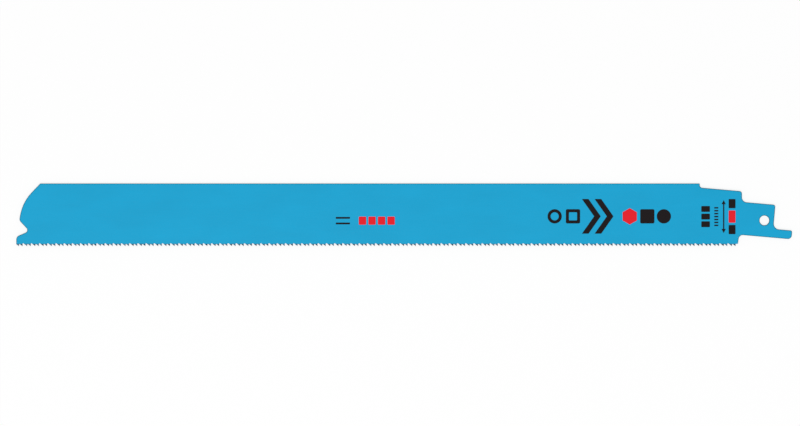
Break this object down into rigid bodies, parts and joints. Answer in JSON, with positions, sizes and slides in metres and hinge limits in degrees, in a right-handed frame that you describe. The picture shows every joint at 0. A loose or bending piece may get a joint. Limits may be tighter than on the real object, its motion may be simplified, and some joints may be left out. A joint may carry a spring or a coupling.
{
  "type": "reciprocating saw blade",
  "caption": "Long flat reciprocating saw blade for metal, with a variable pitch tooth edge, a plunge notch at the toe and a canted tang with a pin hole and a prong.",
  "frame": {"origin": "centre of the pin hole in the tang, on the mid-plane of the sheet", "axes": "+X from the toe to the tang, +Y from the tooth tips to the back edge, +Z square to the sheet, along the pin hole"},
  "size_m": [0.3048, 0.0246, 0.0016],
  "materials": {
    "painted_blade": "satin blue lacquer on spring steel",
    "tooth_steel": "bare milled tooth edge and punched edges",
    "print_black": "black printing ink",
    "print_red": "red printing ink"
  },
  "bodies": {
    "root": {"blade": "painted_blade"}
  },
  "joints": []
}
